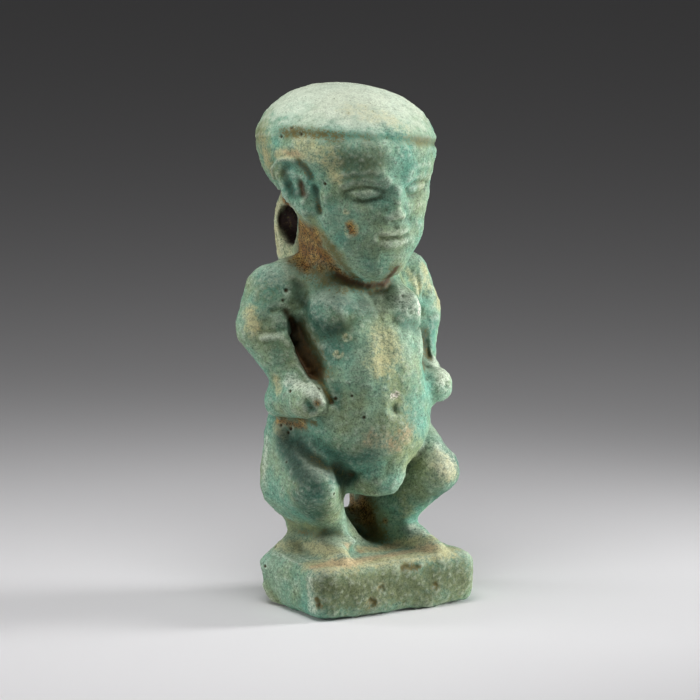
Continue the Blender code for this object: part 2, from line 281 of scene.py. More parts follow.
class Skin:
    """The skin's points, with the tools that carve it and that lay colour masks on it."""

    def __init__(self, item):
        self.mesh = item.data
        self.tree = BVHTree.FromPolygons(
            [vertex.co for vertex in self.mesh.vertices],
            [polygon.vertices for polygon in self.mesh.polygons],
        )
        self.uncarved = read_vectors(self.mesh.vertices, "co")
        self.points = self.uncarved.copy()
        self.normals = read_vectors(self.mesh.vertices, "normal").copy()
        self.masks = {}

    def hit(self, x, y):
        """The point of the skin that a pixel shows, or just beside the outline, the nearest one."""
        direction = pixel_direction(x, y)
        place = self.tree.ray_cast(camera_place(), direction)[0]
        if place is None:
            place = self.tree.find_nearest(camera_place() + direction * CAMERA_DISTANCE)[0]
        return place

    def trace(self, path):
        """Points of the skin along a path that is given in pixels."""
        traced = [self.hit(*path[0])]
        for start, end in zip(path[:-1], path[1:]):
            length = math.dist(start, end)
            steps = max(1, round(length / TRACE_STEP))
            for step in range(1, steps + 1):
                share = step / steps
                x = start[0] + (end[0] - start[0]) * share
                y = start[1] + (end[1] - start[1]) * share
                traced.append(self.hit(x, y))
        return traced

    def mirrored(self, traced):
        """The same points on the figure's other side, laid on the skin there."""
        return [self.tree.find_nearest((-place.x, place.y, place.z))[0] for place in traced]

    def lines(self, path, paired):
        """The path laid on the skin, and its mirror image too if it is paired."""
        traced = self.trace(path)
        return [traced, self.mirrored(traced)] if paired else [traced]

    def falloff(self, traced, width):
        """1 along the traced line and less away from it, to nothing at 3 widths."""
        line = np.array([tuple(place) for place in traced])
        low = line.min(axis=0) - 3.0 * width
        high = line.max(axis=0) + 3.0 * width
        near = np.flatnonzero(np.all((self.uncarved > low) & (self.uncarved < high), axis=1))
        weight = np.zeros(len(self.points))
        weight[near] = bell(distance_to(self.uncarved[near], line), 0.0, width)
        return weight

    def push(self, weight, height):
        """Raises the skin along its normals by the height where the weight is 1."""
        self.points += self.normals * (weight * height)[:, None]

    def groove(self, path, width, depth, paired=False):
        """A soft furrow along a path of pixels; width and depth in pixels, less than 0 raises."""
        for line in self.lines(path, paired):
            self.push(self.falloff(line, width * PIXEL), -depth * PIXEL)

    def move(self, path, width, across, toward):
        """Pulls the skin to the photograph's right and toward the viewer, in pixels."""
        right, _, viewer = camera_axes()
        weight = self.falloff(self.trace(path), width * PIXEL)[:, None]
        self.points += weight * np.array(right * across + viewer * toward) * PIXEL

    def even_out(self, path, width, passes, paired=False):
        """Softens the skin along a path of pixels."""
        for line in self.lines(path, paired):
            self.soften(self.falloff(line, width * PIXEL), passes)

    def colour_patch(self, name, path, width, strength, paired=False):
        """Lays a colour mask along a path of pixels."""
        mask = self.masks.setdefault(name, np.zeros(len(self.points)))
        for line in self.lines(path, paired):
            np.maximum(mask, self.falloff(line, width * PIXEL) * strength, out=mask)

    def smear(self, name, line, width, strength):
        """Lays a colour mask along a line in space, in shares."""
        places = [figure_place(*corner) for corner in line]
        mask = self.masks.setdefault(name, np.zeros(len(self.points)))
        np.maximum(mask, self.falloff(places, width * SHARE) * strength, out=mask)

    def shares(self):
        """The points in the figure's own measure."""
        return (self.points - (0.0, 0.0, PLINTH_HEIGHT)) / SHARE

    def seen_from(self, view):
        """The points' two coordinates as a viewer on that side sees them, in shares."""
        return self.shares()[:, [axis for axis in range(3) if abs(view[axis]) < 0.5]]

    def facing(self, view):
        """1 where the skin faces that side, and 0 where it turns away."""
        return ramp(self.normals @ np.array(view), 0.1, 0.5)

    def stroke(self, view, path, width, height):
        """A soft line as a viewer on that side sees it, in shares; less than 0 sinks."""
        distance = distance_to(self.seen_from(view), np.array(path))
        self.push(bell(distance, 0.0, width) * self.facing(view), height * SHARE)

    def spot(self, view, centre, radii, height):
        """A soft oval as a viewer on that side sees it, in shares; less than 0 sinks."""
        across, up = (self.seen_from(view) - np.array(centre)).T
        reach = (across / radii[0]) ** 2 + (up / radii[1]) ** 2
        self.push(np.exp(-reach) * self.facing(view), height * SHARE)

    def soften(self, weight, passes):
        """Evens the skin out where the weight is 1, as hands and wear do to an edge."""
        first, second = edge_ends(self.mesh)
        touched = (weight[first] > LEAST_WEIGHT) | (weight[second] > LEAST_WEIGHT)
        ends = np.concatenate((first[touched], second[touched]))
        used, local = np.unique(ends, return_inverse=True)
        first, second = np.split(local, 2)
        # The outermost points have neighbours beyond the edges at hand, so they stay.
        pull = np.where(weight[used] > LEAST_WEIGHT, SOFTEN_PULL * weight[used], 0.0)[:, None]
        self.points[used] = smoothed(self.points[used], first, second, pull, passes)

    def waves(self, grain, height, weight):
        """Slow unevenness where the weight allows it."""
        values = [noise.noise(Vector(point) / grain) for point in self.points]
        self.push(np.array(values) * weight, height)

    def roughen(self, grain, height, octaves=3):
        """Uneven ground; grain is the size of its lumps and height their rise, in metres."""
        values = [noise.fractal(Vector(point) / grain, 1.0, 2.0, octaves) for point in self.points]
        self.push(np.array(values), height)

    def write(self):
        """Puts the carved points, on a flat underside, and the masks into the mesh."""
        self.points[:, 2] = np.where(self.points[:, 2] < FLAT_BELOW, 0.0, self.points[:, 2])
        self.mesh.vertices.foreach_set("co", self.points.ravel())
        self.mesh.update()
        for name, mask in self.masks.items():
            attribute = self.mesh.attributes.new(name, "FLOAT", "POINT")
            attribute.data.foreach_set("value", mask)


def edge_ends(mesh):
    ends = np.empty(len(mesh.edges) * 2, dtype=np.int64)
    mesh.edges.foreach_get("vertices", ends)
    return ends.reshape(-1, 2).T


def smoothed(points, first, second, pull, passes):
    """Points drawn toward the mean of their neighbours, along edges from first to second."""
    count = len(points)
    degree = np.bincount(first, minlength=count) + np.bincount(second, minlength=count)
    even = points.copy()
    for _ in range(passes):
        total = np.empty_like(even)
        for axis in range(3):
            column = even[:, axis]
            total[:, axis] = np.bincount(first, column[second], count)
            total[:, axis] += np.bincount(second, column[first], count)
        even += pull * (total / degree[:, None] - even)
    return even


def sunk_depth(skin, passes):
    """How far each point lies below its smoothed surroundings, in metres."""
    first, second = edge_ends(skin.mesh)
    even = smoothed(skin.points, first, second, SOFTEN_PULL, passes)
    return np.einsum("ij,ij->i", even - skin.points, skin.normals)


def mask_hollows(skin):
    """Masks from depths in metres: raised edges that wear reaches, narrow creases that are
    darkened, and hollows that get painted shade and brown dirt.
    """
    narrow = sunk_depth(skin, passes=8)
    wide = sunk_depth(skin, passes=90)
    skin.masks["crevice"] = ramp(narrow, 0.000008, 0.000030)
    skin.masks["edge"] = ramp(-narrow, 0.000004, 0.000020)
    skin.masks["hollow"] = ramp(wide, 0.00003, 0.00022)


def srgb(red, green, blue):
    """A colour as the photograph gives it, turned into the linear one that shaders use."""
    linear = [((part / 255.0 + 0.055) / 1.055) ** 2.4 for part in (red, green, blue)]
    return (*linear, 1.0)


def arc(centre, radii, start, end, steps=8):
    """Points along part of an oval, between two angles in degrees."""
    angles = [math.radians(start + (end - start) * step / steps) for step in range(steps + 1)]
    across = [centre[0] + radii[0] * math.cos(angle) for angle in angles]
    up = [centre[1] + radii[1] * math.sin(angle) for angle in angles]
    return list(zip(across, up))


def carve_eye(skin, side):
    """A long eye under a heavy lid, with a soft ridge of brow above it."""
    eye = (side * 6.4, 80.0)
    skin.spot(FRONT, eye, (5.2, 2.8), -0.45)
    skin.spot(FRONT, eye, (3.4, 1.3), 0.60)
    skin.stroke(FRONT, arc(eye, (3.7, 1.5), 20.0, 160.0), 0.60, -0.40)
    skin.stroke(FRONT, arc(eye, (3.5, 1.4), 200.0, 340.0), 0.60, -0.18)
    skin.stroke(FRONT, arc((side * 6.4, 80.9), (4.3, 2.2), 25, 155), 0.90, 0.25)
    skin.stroke(FRONT, arc((side * 6.8, 81.8), (5.2, 3.4), 20, 150), 1.20, 0.45)


def carve_nose_wing(skin, side):
    """One wing of the nose with its nostril, and the fold beside it."""
    wing_edge = [(side * 2.5, 76.4), (side * 3.1, 75.2), (side * 2.5, 74.1)]
    cheek_fold = [(side * 4.2, 73.6), (side * 5.6, 70.4)]
    skin.stroke(FRONT, wing_edge, 0.70, -0.35)
    skin.spot(FRONT, (side * 1.7, 74.9), (1.0, 0.9), 0.30)
    skin.spot(FRONT, (side * 1.0, 73.8), (0.6, 0.4), -0.30)
    skin.stroke(FRONT, cheek_fold, 1.20, -0.30)


def carve_mouth(skin):
    """Full, closed lips, and the hollows above and below them."""
    mouth_line = [(-3.4, 70.4), (-1.2, 70.1), (0.0, 70.2), (1.2, 70.1), (3.4, 70.4)]
    upper_lip = [(-2.6, 71.3), (-0.8, 71.6), (0.0, 71.5), (0.8, 71.6), (2.6, 71.3)]
    lower_lip = [(-2.0, 69.0), (2.0, 69.0)]
    lip_hollow = [(0.0, 73.4), (0.0, 72.4)]
    skin.stroke(FRONT, mouth_line, 0.60, -0.50)
    skin.stroke(FRONT, upper_lip, 1.00, 0.18)
    skin.stroke(FRONT, lower_lip, 1.10, 0.22)
    skin.stroke(FRONT, lip_hollow, 0.70, -0.15)
    skin.stroke(FRONT, arc((0.0, 68.4), (2.8, 1.6), 200, 340), 0.90, -0.30)


def carve_face(skin):
    """A calm, broad face of the type, the same on both sides."""
    bridge = [(0.0, 81.0), (0.0, 75.6)]
    for side in (-1, 1):
        carve_eye(skin, side)
        carve_nose_wing(skin, side)
    skin.stroke(FRONT, bridge, 1.30, 0.35)
    carve_mouth(skin)


def carve_ears(skin):
    """The rolled rim, the shell-like hollow and the groove in front of each ear."""
    inside = [(290, 170), (299, 180), (300, 198)]
    rim = [(274, 178), (273.5, 168), (278, 160), (286, 158.5), (294, 160.5)]
    hind_edge = [(276, 183), (283, 194), (291, 205), (299, 215), (309, 221)]
    bowl = [(282, 176), (284, 169), (291, 167), (300, 171)]
    rear_hollow = [(286, 184), (291, 194), (298, 203)]
    ear_hole = [(299.5, 183), (300.5, 196)]
    inner_ridge = [(310, 187), (307, 195), (302, 203)]
    front = [(299, 161), (306, 165), (311, 173), (315, 185), (318, 199), (320, 212)]
    lobe = [(304, 212), (311, 213)]
    beside_lobe = [(318.5, 207), (319.5, 213)]
    skin.even_out(inside, 8, 160, paired=True)
    skin.even_out(front, 7, 160, paired=True)
    skin.groove(rim, 2.6, -2.2, paired=True)
    skin.groove(hind_edge, 2.2, -1.3, paired=True)
    skin.groove(bowl, 4.5, 2.4, paired=True)
    skin.groove(rear_hollow, 4, 1.2, paired=True)
    skin.groove(ear_hole, 5, 3.4, paired=True)
    skin.groove(inner_ridge, 2.4, -1.3, paired=True)
    skin.groove(front, 4, 1.8, paired=True)
    skin.even_out(front, 4, 30, paired=True)
    skin.groove(lobe, 3.5, -0.8, paired=True)
    skin.groove(beside_lobe, 3, 1.4, paired=True)


def carve_cap(skin):
    """The cap's edge: a sunk line in front, which turns into a raised hem toward the back."""
    across, back, up = skin.shares().T
    height = up - CAP_LEVEL + CAP_FALL_LEFT * across + CAP_FALL_BACK * back
    upright = np.clip(1.0 - np.abs(skin.normals[:, 2]), 0.0, 1.0)
    sunk = np.clip(1.0 - (back - 2.0) / 10.0, 0.15, 1.0)
    seam = bell(height, -0.6, 0.9)
    skin.push(upright * (1.0 - sunk) * seam, 0.55 * SHARE)
    skin.push(upright * sunk * seam, -0.30 * SHARE)
    skin.masks["cap_line"] = bell(height, -0.4, 1.2) * upright * sunk
    skin.masks["cap"] = ramp(height, -1.0, 4.0)


def carve_neck(skin):
    """The jaw's rear edge melts into the neck under the crust, and the throat lies back."""
    jaw = [(299, 215), (303, 223), (311, 232), (323.5, 250), (336, 264), (349, 272)]
    throat = [(336, 278), (350, 286), (370, 292), (386, 289), (397, 276)]
    skin.even_out(jaw, 9, 200, paired=True)
    skin.move(throat, 5, 0, -4)


def carve_near_arm(skin):
    """The deep hollow behind the forearm, and the folds inside the bent elbow."""
    hollow_edge = [(299, 322), (306, 340), (313, 356), (322, 372)]
    hollow_rear = [(291, 320), (295, 332), (300, 345), (307, 360), (315, 374)]
    hollow_front = [(300, 326), (306, 340), (313, 355), (320, 368)]
    hollow_middle = [(301, 345), (307, 357), (313, 368)]
    forearm_edge = [(297, 337), (302, 349), (308, 362), (314, 373)]
    upper_fold = [(272, 311), (280, 310), (288, 313)]
    lower_fold = [(262, 331.5), (273, 332), (284, 330)]
    armpit_end = [(305, 298), (307, 293)]
    flesh_roll = [(274, 321), (283, 321)]
    forearm_swell = [(264, 339), (278, 338), (287, 344)]
    armpit_ridge = [(304, 303), (313, 301)]
    armpit_fold = [(299, 309), (303, 304)]
    skin.even_out(hollow_edge, 5, 40, paired=True)
    skin.move(hollow_rear, 4, 0, -9)
    skin.move(hollow_front, 7.5, 0, -9)
    skin.move(hollow_middle, 4, 0, -7)
    skin.move(forearm_edge, 5, -7, -2)
    skin.groove(upper_fold, 3.6, 2.4)
    skin.groove(lower_fold, 4.2, 2.6)
    skin.groove(armpit_end, 2.4, 1.2)
    skin.groove(flesh_roll, 5, -2.4)
    skin.groove(forearm_swell, 4, -1.6, paired=True)
    skin.groove(armpit_ridge, 3.5, -0.9)
    skin.groove(armpit_fold, 3, 1.2)


def carve_far_arm(skin):
    """The far arm's slimmer outline, and the hollow between it and the flank."""
    forearm = [(436, 338), (436, 352)]
    upper_arm = [(436, 290), (439, 301)]
    elbow = [(439, 328), (438, 343)]
    hollow_edge = [(424, 332), (427, 345), (430, 358), (436, 364)]
    hollow = [(425, 335), (427, 344), (429, 354)]
    bulge = [(440, 299)]
    skin.groove(forearm, 9, 3)
    skin.move(upper_arm, 7, -3.5, 0)
    skin.move(elbow, 7, -3, 0)
    skin.move(bulge, 5, -3.5, 0)
    skin.even_out(hollow_edge, 7, 160)
    skin.move(hollow, 4, 0, -6)


def carve_hands(skin):
    """Fists on the hips: a ridge of knuckles, the thumb's hollow and a fold at the wrist."""
    beside_fist = [(316, 376), (322, 384), (327, 393), (331, 402)]
    knuckles = [(298, 367), (306, 376), (313, 385), (319, 394), (323, 404)]
    thumb_hollow = [(306, 402), (311, 408)]
    heel = [(297, 412), (307, 416), (318, 415)]
    back_of_hand = [(284, 396), (296, 389), (303, 385)]
    far_fist = [(440, 372), (447, 382), (446, 394)]
    wrist_fold = [(272, 378), (283, 379)]
    under_fist = [(274, 417), (285, 419), (302, 420), (318, 418)]
    finger_crease = [(316, 398), (318, 404)]
    skin.move(beside_fist, 4.5, 0, -7)
    skin.groove(knuckles, 2.4, -1.5)
    skin.groove(thumb_hollow, 5, 3.2)
    skin.groove(heel, 4, -1)
    skin.groove(back_of_hand, 4, -0.9, paired=True)
    skin.even_out(far_fist, 9, 120)
    skin.groove(wrist_fold, 2.4, 0.9, paired=True)
    skin.groove(under_fist, 2.8, 2.2, paired=True)
    skin.groove(finger_crease, 1.6, 0.9, paired=True)


def carve_chest(skin):
    """Soft breasts that hang over the ribs, the far flank and the far armpit's line."""
    under_near_breast = [(310, 322), (322, 336), (342, 334), (354, 322)]
    under_far_breast = [(394, 322), (404, 328), (413, 325)]
    near_breast = [(320, 303), (338, 309)]
    far_breast = [(402, 300), (409, 306)]
    far_flank = [(408, 282), (416, 290), (420, 302), (421, 320), (423, 345)]
    far_ribs = [(413, 300), (416, 310), (416, 328), (419, 350)]
    far_armpit = [(411, 274), (415, 284), (419, 295)]
    armpit_line = [(417, 277), (420, 285), (423, 294)]
    nipple = [(402, 297), (402.5, 297.5)]
    breastbone = [(362, 300), (370, 315), (374, 330)]
    skin.groove(under_near_breast, 7, 2)
    skin.groove(under_far_breast, 6, 2.2)
    skin.groove(near_breast, 12, -3)
    skin.groove(far_breast, 9, -2.6)
    skin.even_out(far_flank, 7, 90)
    skin.groove(far_ribs, 8, -4.5)
    skin.even_out(far_armpit, 5, 90)
    skin.groove(armpit_line, 2.6, 1.6)
    skin.groove(nipple, 1.8, 1.2)
    skin.groove(breastbone, 6, 1)


def carve_belly(skin):
    """The navel, the overhang of the belly and the creases along the thighs."""
    navel = [(395.5, 408), (396, 412)]
    below_navel = [(388, 417), (397, 420)]
    thigh_top = [(288, 428), (304, 440), (322, 456), (338, 466)]
    crease = [(296, 442), (303, 450), (312, 458), (323, 464), (337, 469), (348, 473)]
    belly_tip = [(403, 463), (401, 470)]
    hip_crease = [(288, 430), (297, 441), (306, 451)]
    knee_inside = [(342, 470), (346, 482), (348, 490)]
    belly_underside = [(364, 468), (382, 469), (398, 465), (404, 458)]
    thigh_hollow = [(286, 438), (289, 452), (296, 466)]
    crease_end = [(345, 477), (356, 475), (366, 471)]
    skin.groove(navel, 2.4, 1.3)
    skin.groove(below_navel, 6, -0.8)
    skin.even_out(thigh_top, 9, 150)
    skin.move(crease, 7.5, 0, -8.5)
    skin.move(belly_tip, 5, 3, 0)
    skin.even_out(hip_crease, 5, 40)
    skin.even_out(knee_inside, 6, 90)
    skin.even_out(belly_underside, 9, 220)
    skin.groove(thigh_hollow, 8, 3.2, paired=True)
    skin.groove(crease_end, 4, 1.4)


def carve_legs(skin):
    """Round knees, full calves and the fold at the ankle."""
    knee = [(303, 470), (311, 478)]
    behind_knee = [(284, 478), (288, 494)]
    calf = [(289, 505), (304, 512)]
    ankle_fold = [(291, 527), (303, 532), (318, 535), (334, 532)]
    shin_top = [(338, 472), (341, 482), (341, 496)]
    shin_edge = [(334, 468), (341, 478), (342, 488), (342, 498)]
    skin.groove(knee, 10, -0.6, paired=True)
    skin.groove(behind_knee, 8, 0.9, paired=True)
    skin.groove(calf, 8, -1, paired=True)
    skin.groove(ankle_fold, 5, 1)
    skin.move(shin_top, 6, -4.5, -2)
    skin.even_out(shin_edge, 8, 180)


def carve_instep(skin):
    """The apron spreads toward its foot, and its edges are worn soft."""
    spread = (((341, 518), 5, 3), ((343, 530), 6, 6), ((345, 541), 7, 11))
    upper_edge = [(341, 516), (347, 530), (357, 543)]
    foot_top = [(318, 541), (332, 544), (345, 547)]
    lower_edge = [(349, 535), (356, 542), (353, 551)]
    for place, width, across in spread:
        skin.move([place], width, across, 0)
    skin.even_out(upper_edge, 9, 200)
    skin.groove(foot_top, 5, -1.2, paired=True)
    skin.even_out(lower_edge, 6.5, 140)


# Chips and dents in the plinth: path, width and depth
PLINTH_CHIPS = (
    ([(402, 567), (406, 565), (411, 567), (417, 565)], 2.6, 1.6),
    ([(380, 588), (383, 586), (384, 590)], 1.8, 1.2),
    ([(370, 600), (375, 602), (372, 606)], 1.9, 1.4),
    ([(434, 584), (437, 586), (435, 589)], 1.9, 1.0),
    ([(316, 600), (319, 603), (317, 609)], 2.0, 1.4),
    ([(277, 608), (285, 611)], 3, 1.6),
    ([(330, 590), (352, 596)], 9, 0.9),
    ([(425, 574), (450, 580)], 9, 0.8),
)


def carve_plinth(skin):
    """Hand-pressed sides: softened edges, lumps on one corner, chips and a worn corner."""
    upper_lump = [(262, 559), (263, 567)]
    lower_lump = [(266, 586), (271, 597), (276, 604)]
    notch = [(265, 576)]
    worn_corner = [(472, 593), (468, 599)]
    side_rim = [(266, 553), (283, 557), (298, 563)]
    front_rim = [(322, 571), (350, 566), (395, 561), (440, 555)]
    height = skin.points[:, 2]
    skin.soften(ramp(PLINTH_HEIGHT * 1.06 - height, 0.0, PLINTH_HEIGHT * 0.1), 130)
    skin.waves(0.0028, 0.00012, height < PLINTH_HEIGHT)
    skin.move(upper_lump, 7, -3, 0)
    skin.move(lower_lump, 5, -4.5, 0)
    skin.move(notch, 3, 1.5, 0)
    skin.move(worn_corner, 5, -3, 0)
    skin.groove(side_rim, 2, -0.9)
    skin.groove(front_rim, 2.4, -0.7)
    for chip in PLINTH_CHIPS:
        skin.groove(*chip)


def carve_back(skin):
    """The furrow of the spine, the shoulder blades and the seat, kept plain."""
    spine = [(0.0, 53.0), (0.0, 36.0)]
    skin.stroke(BACK, spine, 0.9, -0.5)
    for side in (-1, 1):
        skin.stroke(BACK, arc((side * 7.0, 47.0), (4.0, 5.0), 250, 330), 1.0, -0.35)
        skin.spot(BACK, (side * 6.0, 21.5), (4.5, 4.0), 0.4)


def mask_bore(skin):
    """Marks the inside of the cord's bore, which is painted near black as shade and is duller."""
    axis_back = NECK_BACK * SHARE + BORE_RADIUS
    axis_up = PLINTH_HEIGHT + BORE_LEVEL * SHARE
    gap = np.hypot(skin.points[:, 1] - axis_back, skin.points[:, 2] - axis_up)
    inside = ramp(BORE_RADIUS * 1.32 - gap, 0.0, BORE_RADIUS * 0.20)
    skin.masks["bore"] = inside * (np.abs(skin.points[:, 0]) < LOOP_WIDTH)


# Pinholes and chips: x, y and radius
PINHOLES = (
    (324.6, 184, 1.5), (286.3, 290.6, 2.0), (283, 300.5, 1.4), (319.5, 387.8, 1.6),
    (335.5, 398.6, 1.5), (351.8, 396.2, 1.2), (364.3, 417.4, 1.5), (290, 391, 1.4),
    (266.2, 565.5, 1.5), (262, 563, 1.3), (275.7, 547, 1.4), (281, 425, 1.4),
    (291, 428, 1.4), (287, 431.5, 1.3), (291, 127.5, 1.4), (281, 136.5, 1.4),
    (300.5, 134, 1.2), (285, 461.7, 1.2), (334.4, 494, 1.2),
)

CHIPS = (
    (415, 304, 2.0), (415.5, 308, 2.2), (415, 312, 1.8), (393, 396.5, 2.0), (396.5, 395, 2.4),
)

# Rings of burst bubbles: x, y and radius, and the part of the oval that is left
RINGS = ((346.9, 337.8, 4.2), (338.6, 354.4, 4.0), (346, 211.5, 2.6), (318, 606, 3.0))
RING_START, RING_END = -20, 250


def carve_marks(skin):
    """Pinholes where gas left the glaze, small chips, and the raised rings of burst bubbles."""
    for x, y, radius in PINHOLES:
        skin.groove([(x, y)], radius, 1.7 * radius)
        skin.colour_patch("brown", [(x, y)], radius * 1.2, 0.9)
    for x, y, radius in CHIPS:
        skin.groove([(x, y)], radius, 0.5 * radius)
        skin.colour_patch("white", [(x, y)], radius * 1.3, 1.0)
    for x, y, radius in RINGS:
        ring = arc((x, y), (radius, radius * 0.7), RING_START, RING_END)
        skin.groove(ring, 1.3, -0.6)
        skin.groove([(x, y)], 1.3, 0.8)
        skin.colour_patch("beige", ring, 2.2, 0.42)


